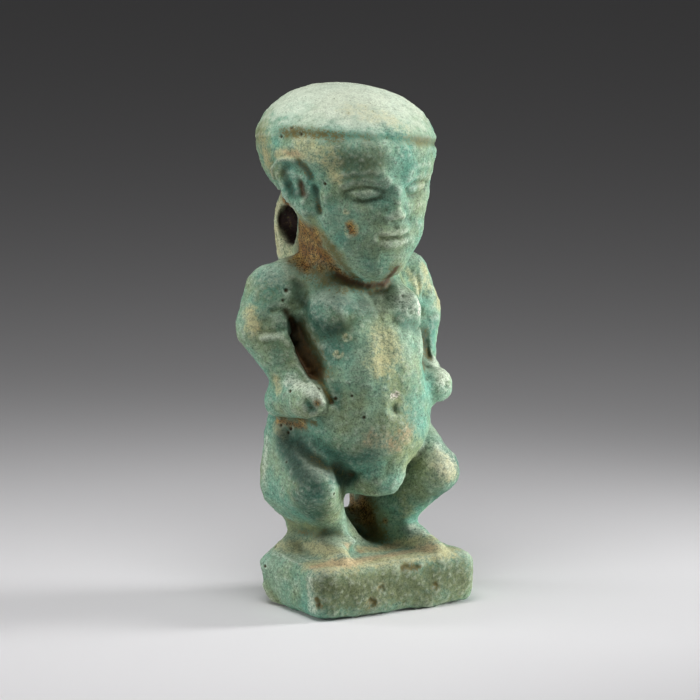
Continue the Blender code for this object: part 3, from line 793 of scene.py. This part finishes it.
# Stains and painted light by colour, from the head down: path, width, strength, and True where
# the figure's other side has it too. Shadow, teal and moss are mostly painted shade, and some
# pale ones are painted highlights.
STAINS_AND_PAINTED_LIGHT = {
    # Teal: mostly painted shade, on the temple, in the ears, on the shoulder under the head, on the
    # chest and under the breasts, in the thumb's hollow, the thighs' valleys and crease, under the
    # belly and round the knees
    "teal_and_painted_shade": (
        ([(345, 160), (370, 168)], 14, 0.5),
        ([(285, 168), (288, 180), (294, 192)], 8, 0.7, True),
        ([(332, 204), (336, 225), (346, 244)], 12, 0.4),
        ([(262, 276), (278, 280)], 14, 0.6),
        ([(292, 286), (300, 294)], 9, 0.6),
        ([(322, 300), (345, 304), (365, 308)], 14, 0.8),
        ([(400, 316), (410, 322), (416, 331)], 9, 0.55),
        ([(312, 318), (322, 330), (332, 345)], 19, 0.9),
        ([(404, 320), (410, 326)], 7, 0.6),
        ([(272, 342), (284, 358)], 12, 0.5, True),
        ([(336, 385), (338, 405)], 7, 0.6),
        ([(308, 405), (312, 410)], 6, 0.9),
        ([(283, 436), (288, 452), (296, 468), (306, 478)], 13, 1.0),
        ([(284, 438), (289, 455), (298, 470)], 15, 1.0, True),
        ([(292, 440), (312, 460), (340, 476)], 15, 1.0),
        ([(330, 450), (352, 458), (370, 456)], 11, 0.7),
        ([(304, 468), (312, 482), (302, 500), (312, 512)], 17, 0.95, True),
        ([(404, 530), (412, 534)], 6, 0.6),
    ),
    "olive": (
        ([(262, 130), (266, 150), (276, 172)], 14, 0.8, True),
        ([(311, 220), (320, 234), (330, 248), (341, 259)], 9, 0.9),
        ([(385, 360), (392, 380), (402, 420)], 16, 0.6),
        ([(405, 440), (420, 455), (440, 470)], 16, 0.7),
        ([(400, 495), (408, 512)], 10, 0.6),
        ([(290, 524), (312, 528)], 8, 0.8),
        ([(325, 588), (370, 592), (410, 584), (455, 578)], 24, 0.8),
    ),
    # Moss: painted shade on the cap's back, the temple, the shoulder, the far hollow, the crease
    # and the plinth's front, and olive-brown mottling on the belly and the plinth
    "moss": (
        ([(259, 132), (263, 150), (272, 170)], 12, 0.6),
        ([(338, 156), (352, 165), (366, 160)], 18, 0.8),
        ([(290, 268), (296, 284), (300, 300)], 12, 0.6),
        ([(266, 284), (264, 300), (258, 330)], 16, 0.45),
        ([(424, 332), (427, 346), (430, 357)], 7, 1.0),
        ([(380, 425), (398, 440), (410, 422)], 16, 0.5),
        ([(312, 458), (328, 468), (344, 474)], 9, 0.9),
        ([(440, 566), (466, 560)], 10, 0.6),
        ([(322, 582), (340, 594), (380, 592), (410, 585), (460, 576)], 24, 0.85),
    ),
    # Pale: painted highlights on the upper chest, the far breast, the fist's top, the near thigh's
    # edge and the far knee, and pale glaze elsewhere
    "pale": (
        ([(386, 289), (396, 292), (404, 297)], 10, 1.0),
        ([(398, 303), (410, 308)], 9, 0.5),
        ([(290, 381), (306, 386), (320, 396)], 8, 0.7, True),
        ([(266, 440), (264, 462), (265, 482)], 8, 0.45, True),
        ([(432, 452), (446, 464)], 13, 0.9),
        ([(415, 528), (424, 534)], 6, 0.7),
        ([(272, 572), (296, 586)], 14, 0.2),
        ([(309, 576), (310, 594), (311, 610)], 8, 0.5),
    ),
    "beige": (
        ([(350, 108), (382, 116), (402, 128)], 16, 0.4),
        ([(300, 142), (318, 150), (332, 160)], 11, 0.6),
        ([(262, 145), (268, 165)], 12, 0.6, True),
        ([(306, 152), (322, 160), (336, 176)], 9, 0.6),
        ([(276, 155), (288, 153), (302, 155)], 6, 0.9, True),
        ([(281, 199), (275, 210), (273, 225), (275, 240), (279, 254)], 4, 1.0),
        (arc((351, 229), (6.5, 7.5), 0, 360), 2, 0.5),
        ([(424, 268), (430, 285)], 9, 0.6),
        ([(411, 274), (417, 280), (421, 290)], 7, 0.7),
        ([(250, 313), (253, 327)], 9, 0.8, True),
        ([(382, 340), (392, 352), (380, 362)], 17, 0.65),
        ([(276, 381), (278, 389)], 6.5, 0.8, True),
        ([(275, 426), (284, 436)], 6, 0.6),
        ([(441, 460), (452, 470)], 13, 0.6),
        ([(290, 544), (316, 549), (346, 552)], 8, 0.9),
        ([(280, 546), (300, 552)], 8, 0.7),
        ([(362, 550), (386, 548), (412, 543), (442, 537)], 8, 0.9),
        ([(308, 563), (330, 566), (370, 561), (420, 554), (450, 548)], 10, 1.0),
        ([(314, 571), (350, 567), (400, 561), (455, 554)], 5, 0.6),
        (arc((382, 588.5), (5, 4.5), 90, 300), 3, 0.3),
        (arc((373, 604), (6, 5.5), 0, 200), 3, 0.4),
    ),
    "rose": (
        ([(284, 153), (298, 154)], 4, 0.6),
        ([(372, 438), (394, 446), (408, 434)], 12, 0.45),
        ([(345, 546)], 5, 0.9),
        ([(433, 547)], 7, 0.6),
        ([(368, 549), (396, 546)], 7, 0.6),
        ([(360, 552)], 5, 0.9),
        ([(314, 566), (350, 562), (390, 555), (430, 548)], 7, 1.0),
    ),
    "shadow": (
        ([(336, 158), (364, 162)], 16, 0.25),
        ([(300, 163), (307, 168), (311, 175)], 4.5, 0.9, True),
        ([(284, 172), (288, 184), (296, 194)], 6, 0.6, True),
        ([(316, 187), (319, 198), (320, 211)], 4.5, 0.9, True),
        ([(296, 284), (300, 296), (306, 304)], 8, 0.6),
        ([(334, 298), (360, 302)], 16, 0.3),
        ([(318, 324), (334, 331), (348, 323)], 9, 0.45),
        ([(424, 334), (427, 346), (430, 356)], 6, 0.7),
        ([(282, 436), (288, 450), (296, 466), (304, 476)], 11, 0.9),
        ([(296, 444), (312, 459), (326, 467), (345, 474)], 8, 0.9),
        ([(306, 452), (320, 464), (334, 474), (346, 482)], 7, 0.9),
        ([(309, 476), (316, 486)], 9, 0.5),
    ),
    # Umber: dirt, and painted shade in the grooves before the ears, the forearms' hollows, the
    # crease, the gap between the legs and the ankle's fold
    "umber": (
        ([(282, 131), (300, 131), (320, 134), (341, 136)], 6, 0.7),
        ([(299, 162), (305, 165), (310, 174)], 5.5, 0.45, True),
        ([(318, 196), (319.5, 211)], 4, 0.35, True),
        ([(326, 240), (340, 262), (356, 276)], 8, 0.7),
        ([(300, 262), (320, 274), (340, 282)], 12, 0.8),
        ([(331, 268), (345, 279), (366, 287), (384, 285), (396, 270)], 8, 0.8),
        ([(304, 330), (310, 345), (317, 360), (323, 374)], 11, 0.8, True),
        ([(423, 333), (425, 346), (429, 357)], 5, 0.45),
        ([(315, 374), (323, 386), (330, 400)], 3.5, 0.8),
        ([(279, 418), (300, 420), (315, 423)], 3.5, 0.8, True),
        ([(314, 459), (326, 466), (340, 472)], 6, 0.35),
        ([(362, 502), (368, 520), (376, 537)], 15, 1.0),
        ([(300, 531), (319, 535), (335, 533)], 6, 0.35),
        ([(404, 567), (411, 566), (417, 567)], 4.5, 0.9),
        ([(435.5, 586)], 4.5, 0.7),
        ([(381.5, 588)], 4, 0.8),
        ([(316.5, 600), (318, 607)], 4, 0.9),
        ([(371.5, 601), (373, 605)], 4.5, 0.8),
    ),
    "crust": (
        ([(284, 199), (290, 207), (296, 216)], 5, 1.0),
        ([(350, 226), (352, 231)], 4.8, 1.0),
        ([(333, 266), (350, 277)], 6, 0.7),
        ([(317, 403)], 4, 0.8),
        ([(277, 420), (290, 422), (303, 425)], 6, 0.75, True),
        ([(351, 498), (353, 510)], 7, 0.8),
        ([(362, 504), (368, 518)], 10, 0.9),
        ([(385, 521)], 3.5, 0.8),
    ),
    # Brown: dirt, which is also painted shade in the ears' hollows, the forearms' hollows and the
    # gap between the legs
    "brown": (
        ([(300, 186), (302, 194)], 5.4, 1.0, True),
        ([(318, 243), (325, 254)], 7, 0.35),
        ([(338, 274), (350, 281), (368, 286), (384, 284), (397, 268)], 3.6, 0.9),
        ([(286, 311), (290, 318)], 4, 0.7),
        ([(298, 328), (303, 342), (309, 357), (316, 372)], 9.5, 1.0, True),
        ([(368, 514), (373, 530)], 8, 0.5),
    ),
}


# Stains along lines in space, in shares: colour, line, width and strength
SMEARS = (
    ("crust", [(-9, 17, 69.5), (-10.2, 10, 69), (-10.8, 3.5, 69)], 3.4, 1.0),
    ("crust", [(-8.5, 17, 64.5), (-10, 9, 65), (-9.4, 2.5, 65)], 3.6, 1.0),
    ("crust", [(-8, 16, 60.5), (-10, 9, 61.5)], 2.2, 0.9),
    ("beige", [(0, 27, 74), (0, 30.5, 67), (0, 28, 60)], 8, 1.0),
    ("pale", [(0, 27, 74), (0, 30.5, 67), (0, 28, 60)], 7, 0.8),
)


def lay_stains_and_painted_light(skin):
    """Lays every mask of stains, painted shade and painted highlights on the skin."""
    for name, patches in STAINS_AND_PAINTED_LIGHT.items():
        for colour_patch in patches:
            skin.colour_patch(name, *colour_patch)
    for smear in SMEARS:
        skin.smear(*smear)


def carve_grain(skin):
    """Ground that is never quite even: slow waves, a pebbled middle grain and a fine one."""
    crust = skin.masks["crust"]
    skin.roughen(0.0035, 0.000090)
    skin.roughen(0.0011, 0.000065)
    skin.roughen(0.00034, 0.000028 + 0.00003 * crust, octaves=4)


# What is done to the skin, in this order
CARVING = (
    carve_face, carve_ears, carve_cap, carve_neck, carve_near_arm, carve_far_arm, carve_hands,
    carve_chest, carve_belly, carve_legs, carve_instep, carve_plinth, carve_back, mask_bore,
    lay_stains_and_painted_light, carve_marks, carve_grain, mask_hollows,
)


# Colours of the glaze, its deposits, dirt and crust, and of painted light: the deep teal and the
# moss also paint shade, the darkest green paints shade only, the near black brown paints the bore's
# shade, and the pale one also paints highlights
SURFACE_COLOURS = {
    "sea_green": srgb(122, 152, 127),
    "turquoise": srgb(94, 146, 126),
    "deep_teal": srgb(46, 91, 78),
    "olive": srgb(126, 134, 92),
    "pale": srgb(200, 209, 190),
    "beige": srgb(178, 170, 126),
    "rose": srgb(178, 154, 120),
    "moss": srgb(84, 92, 62),
    "shadow": srgb(30, 56, 46),
    "crust": srgb(150, 102, 44),
    "tan": srgb(182, 150, 84),
    "dark_crust": srgb(34, 22, 10),
    "umber": srgb(84, 74, 34),
    "brown": srgb(62, 42, 20),
    "painted_bore_shade": srgb(26, 14, 8),
    "white": srgb(192, 186, 174),
    "dark_speck": srgb(50, 62, 40),
}


class Graph:
    """Short names for the shader nodes that the glaze and its painted shade are mixed from."""

    def __init__(self, material):
        self.tree = material.node_tree
        self.coordinates = self.add("TexCoord").outputs["Object"]

    def link(self, value, socket):
        """Plugs another node's result into the socket, or sets a plain number or colour there."""
        if isinstance(value, bpy.types.NodeSocket):
            self.tree.links.new(value, socket)
        else:
            socket.default_value = value

    def add(self, kind):
        return self.tree.nodes.new("ShaderNode" + kind)

    def noise(self, grain, detail=3.0, roughness=0.5, offset=0.0):
        """Cloudy values around 0.5; grain is the size of the clouds in metres."""
        node = self.add("TexNoise")
        node.noise_dimensions = "4D"
        self.link(1.0 / grain, node.inputs["Scale"])
        self.link(detail, node.inputs["Detail"])
        self.link(roughness, node.inputs["Roughness"])
        self.link(offset, node.inputs["W"])
        self.link(self.coordinates, node.inputs["Vector"])
        return node.outputs["Fac"]

    def mask(self, name):
        node = self.add("Attribute")
        node.attribute_name = name
        return node.outputs["Fac"]

    def upward(self):
        """How far the surface faces up, from -1 to 1."""
        parts = self.add("SeparateXYZ")
        self.link(self.add("NewGeometry").outputs["Normal"], parts.inputs[0])
        return parts.outputs["Z"]

    def maths(self, operation, first, second, clamp=False):
        node = self.add("Math")
        node.operation = operation
        node.use_clamp = clamp
        self.link(first, node.inputs[0])
        self.link(second, node.inputs[1])
        return node.outputs[0]

    def times(self, first, second):
        return self.maths("MULTIPLY", first, second)

    def plus(self, first, second, clamp=False):
        return self.maths("ADD", first, second, clamp)

    def band(self, value, low, high):
        """0 below low, 1 above high, and a soft step between them."""
        node = self.add("MapRange")
        node.interpolation_type = "SMOOTHSTEP"
        self.link(value, node.inputs["Value"])
        self.link(low, node.inputs["From Min"])
        self.link(high, node.inputs["From Max"])
        return node.outputs["Result"]

    def part_band(self, value, low, high, strength):
        """The same soft step, up to the strength instead of 1."""
        return self.times(self.band(value, low, high), strength)

    def mix(self, first, second, factor):
        node = self.add("Mix")
        node.data_type = "RGBA"
        self.link(factor, node.inputs["Factor"])
        self.link(first, node.inputs["A"])
        self.link(second, node.inputs["B"])
        return node.outputs["Result"]

    def cover(self, colour, name, share):
        """Lays one of the surface's colours over another."""
        return self.mix(colour, SURFACE_COLOURS[name], share)

    def colour_patch(self, colour, name, clouds, strength, raggedness=1.3):
        """Lays one of the surface's colours where the mask of the same name is."""
        return self.cover(colour, name, self.patchy(name, clouds, strength, raggedness))

    def tint(self, colour, strength):
        """Darkens or lightens a colour by a value around 1."""
        node = self.add("VectorMath")
        node.operation = "SCALE"
        self.link(colour, node.inputs[0])
        self.link(strength, node.inputs["Scale"])
        return node.outputs[0]

    def patchy(self, name, clouds, strength, raggedness):
        """A named mask whose border and inside are broken up by clouds."""
        mask = self.mask(name)
        lifted = mask
        for cloud in clouds:
            around = self.maths("SUBTRACT", cloud, 0.5)
            lifted = self.plus(lifted, self.times(around, raggedness))
        inside = self.times(self.band(lifted, 0.0, 0.9), self.band(mask, 0.02, 0.30))
        return self.times(inside, strength)


class Clouds:
    """Cloudy values of five sizes, from broad ones down to the grain."""

    def __init__(self, graph):
        self.broad = graph.noise(0.0040)
        self.other = graph.noise(0.0030, offset=4.0)
        self.middle = graph.noise(0.0009, 4.0, 0.6)
        self.fine = graph.noise(0.00026, 3.0, 0.6)
        self.grain = graph.noise(0.00013, 2.0, 0.6)
        self.ragged = (self.middle, self.fine)


def ground_colour(graph, clouds):
    """The fired glaze from sea green and turquoise to teal and olive, then olive patches, and teal
    and moss patches that are mostly painted shade.
    """
    share = graph.band(clouds.broad, 0.38, 0.62)
    colour = graph.mix(SURFACE_COLOURS["sea_green"], SURFACE_COLOURS["turquoise"], share)
    colour = graph.cover(colour, "olive", graph.part_band(clouds.other, 0.42, 0.68, 0.70))
    colour = graph.cover(colour, "deep_teal", graph.part_band(clouds.middle, 0.52, 0.78, 0.45))
    # The teal patches are mostly painted shade.
    colour = graph.cover(colour, "deep_teal", graph.patchy("teal_and_painted_shade", clouds.ragged, 0.82, 0.9))
    colour = graph.colour_patch(colour, "olive", clouds.ragged, 0.75, 1.2)
    # The moss patches are mostly painted shade.
    return graph.colour_patch(colour, "moss", clouds.ragged, 0.72, 1.5)


def add_bloom_and_highlights(graph, clouds, colour):
    """Pale bloom on top and on worn edges, pale patches that are partly painted highlights, then
    beige and rose deposits.
    """
    dust = graph.plus(graph.upward(), graph.times(clouds.middle, 0.5))
    cap_share = graph.plus(0.30, graph.times(graph.mask("cap"), 0.56))
    bloom = graph.times(graph.band(dust, 0.55, 1.25), cap_share)
    colour = graph.cover(colour, "pale", bloom)
    # The pale patches are partly painted highlights.
    colour = graph.colour_patch(colour, "pale", clouds.ragged, 0.65)
    colour = graph.cover(colour, "pale", graph.times(graph.mask("edge"), 0.35))
    colour = graph.colour_patch(colour, "beige", clouds.ragged, 0.65, 1.2)
    return graph.colour_patch(colour, "rose", clouds.ragged, 0.65, 1.2)


def add_hollow_shade_and_dirt(graph, clouds, colour):
    """Painted shade in the hollows and the shadow patches, darkened creases, brown dirt in the
    deepest hollows, and umber along the cap and in patches of dirt and painted shade.
    """
    hollow = graph.mask("hollow")
    cap_line = graph.patchy("cap_line", (clouds.other, clouds.fine, clouds.grain), 0.60, 2.0)
    # Painted shade: the hollows turn deep teal.
    colour = graph.cover(colour, "deep_teal", graph.times(hollow, 0.80))
    colour = graph.colour_patch(colour, "shadow", clouds.ragged, 0.78, 0.8)
    colour = graph.cover(colour, "umber", graph.times(graph.mask("crevice"), 0.40))
    colour = graph.cover(colour, "brown", graph.part_band(hollow, 0.65, 1.0, 0.75))
    colour = graph.cover(colour, "umber", cap_line)
    # Umber patches: dirt, partly painted shade.
    return graph.colour_patch(colour, "umber", (*clouds.ragged, clouds.grain), 0.85, 1.6)


def add_crust_dirt_and_bore_shade(graph, clouds, colour):
    """Mottled ochre crust, brown dirt that is partly painted shade, painted shade in the bore and
    the chips' bare white body.
    """
    crust = graph.mix(SURFACE_COLOURS["crust"], SURFACE_COLOURS["tan"], graph.band(clouds.middle, 0.40, 0.66))
    crust = graph.cover(crust, "dark_crust", graph.band(clouds.grain, 0.46, 0.62))
    crust = graph.cover(crust, "dark_crust", graph.part_band(clouds.fine, 0.46, 0.60, 0.75))
    colour = graph.mix(colour, crust, graph.patchy("crust", clouds.ragged, 0.94, 1.0))
    # Brown patches: dirt, partly painted shade.
    colour = graph.colour_patch(colour, "brown", clouds.ragged, 0.92, 0.5)
    # Painted shade: the inside of the bore is near black.
    colour = graph.cover(colour, "painted_bore_shade", graph.mask("bore"))
    return graph.colour_patch(colour, "white", (clouds.fine, clouds.grain), 0.85, 3.0)


def add_specks(graph, clouds, colour):
    """Dark pores and fine umber specks all over."""
    pores = graph.noise(0.00021, 2.0, 0.5, offset=9.0)
    colour = graph.cover(colour, "dark_speck", graph.part_band(pores, 0.60, 0.74, 0.45))
    return graph.cover(colour, "umber", graph.part_band(clouds.fine, 0.56, 0.74, 0.30))


def mottling(graph, clouds):
    """Values around 1 that mottle the glaze, less so on the cap."""
    speckle = graph.plus(graph.times(clouds.grain, 1.50), graph.times(clouds.fine, 1.40))
    speckle = graph.plus(speckle, graph.times(clouds.middle, 0.70))
    calm = graph.maths("SUBTRACT", 1.0, graph.times(graph.mask("cap"), 0.45))
    return graph.plus(1.0, graph.times(graph.maths("SUBTRACT", speckle, 1.80), calm))


def surface_colour(graph):
    """The surface colour, from the glaze's ground up to the dirt that lies on it, with painted
    shade in hollows and creases and some painted highlights.
    """
    clouds = Clouds(graph)
    colour = ground_colour(graph, clouds)
    colour = add_bloom_and_highlights(graph, clouds, colour)
    colour = add_hollow_shade_and_dirt(graph, clouds, colour)
    colour = add_crust_dirt_and_bore_shade(graph, clouds, colour)
    colour = add_specks(graph, clouds, colour)
    return graph.tint(colour, mottling(graph, clouds))


def glaze_roughness(graph):
    """A dull glaze, uneven in its gloss and duller still in the bore."""
    gloss = graph.noise(0.0005, 3.0, 0.6, offset=2.0)
    roughness = graph.plus(0.50, graph.times(gloss, 0.30))
    return graph.plus(roughness, graph.times(graph.mask("bore"), 0.4), clamp=True)


def new_material(name):
    material = bpy.data.materials.new(name)
    material.use_nodes = True
    return material, material.node_tree.nodes["Principled BSDF"]


def faience_material():
    material, shader = new_material("worn_faience_with_painted_light")
    graph = Graph(material)
    graph.link(surface_colour(graph), shader.inputs["Base Color"])
    graph.link(glaze_roughness(graph), shader.inputs["Roughness"])
    shader.inputs["Specular IOR Level"].default_value = 0.18
    bump = graph.add("Bump")
    bump.inputs["Strength"].default_value = 0.6
    bump.inputs["Distance"].default_value = 0.00003
    graph.link(graph.noise(0.00012, 3.0, 0.6, offset=6.0), bump.inputs["Height"])
    graph.link(bump.outputs["Normal"], shader.inputs["Normal"])
    return material


def add_floor():
    reach = FLOOR_REACH
    mesh = bpy.data.meshes.new("floor")
    sides = ((-reach, -reach), (reach, -reach), (reach, reach), (-reach, reach))
    corners = [(x, y, 0.0) for x, y in sides]
    mesh.from_pydata(corners, [], [(0, 1, 2, 3)])
    material, shader = new_material("pale_floor")
    shader.inputs["Base Color"].default_value = FLOOR_COLOUR
    shader.inputs["Roughness"].default_value = FLOOR_ROUGHNESS
    mesh.materials.append(material)
    floor = add_object("floor", mesh)


# Softboxes: name, place, target, width and height in metres, power, and spread in degrees.
# Places are across to the photograph's right, toward the viewer, and up.
SOFTBOXES = (
    ("overhead", (-0.012, 0.034, 0.112), (-0.012, 0.034, 0.0), (0.07, 0.07), 0.094, 180.0),
    ("right_side", (0.120, -0.020, 0.032), FIGURE_HEART, (0.03, 0.05), 0.033, 60.0),
    ("left_side", (-0.120, -0.010, 0.034), FIGURE_HEART, (0.04, 0.06), 0.013, 70.0),
    ("front_fill", (-0.03, 0.26, 0.06), FIGURE_HEART, (0.10, 0.10), 0.0035, 60.0),
)


def studio_place(across, toward_viewer, height):
    right, _, toward = camera_axes()
    level = Vector((toward.x, toward.y, 0.0)).normalized()
    return right * across + level * toward_viewer + TOP * height


def add_softbox(name, place, target, size, power, spread):
    data = bpy.data.lights.new(name, "AREA")
    data.shape = "RECTANGLE"
    data.size, data.size_y = size
    data.energy = power
    data.spread = math.radians(spread)
    lamp = add_object(name, data)
    lamp.location = studio_place(*place)
    aim = lamp.location - studio_place(*target)
    lamp.rotation_euler = aim.to_track_quat("Z", "Y").to_euler()


def add_lights():
    for softbox in SOFTBOXES:
        add_softbox(*softbox)
    world = bpy.data.worlds.new("studio")
    world.use_nodes = True
    background = world.node_tree.nodes["Background"]
    background.inputs["Color"].default_value = (1.0, 1.0, 1.0, 1.0)
    background.inputs["Strength"].default_value = ROOM_LIGHT
    bpy.context.scene.world = world


def set_view():
    """Colours as the photograph shows them, without a film curve."""
    bpy.context.scene.view_settings.view_transform = "Standard"


def main():
    amulet = copy_solid(NODE)
    refine(amulet)
    skin = Skin(amulet)
    for step in CARVING:
        step(skin)
    skin.write()
    simplify(amulet)
    amulet.data.shade_smooth()
    amulet.data.materials.clear()
    amulet.data.materials.append(faience_material())
    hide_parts(NODE)
    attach(amulet, "root")
    add_floor()
    add_lights()
    add_camera()
    set_view()


main()
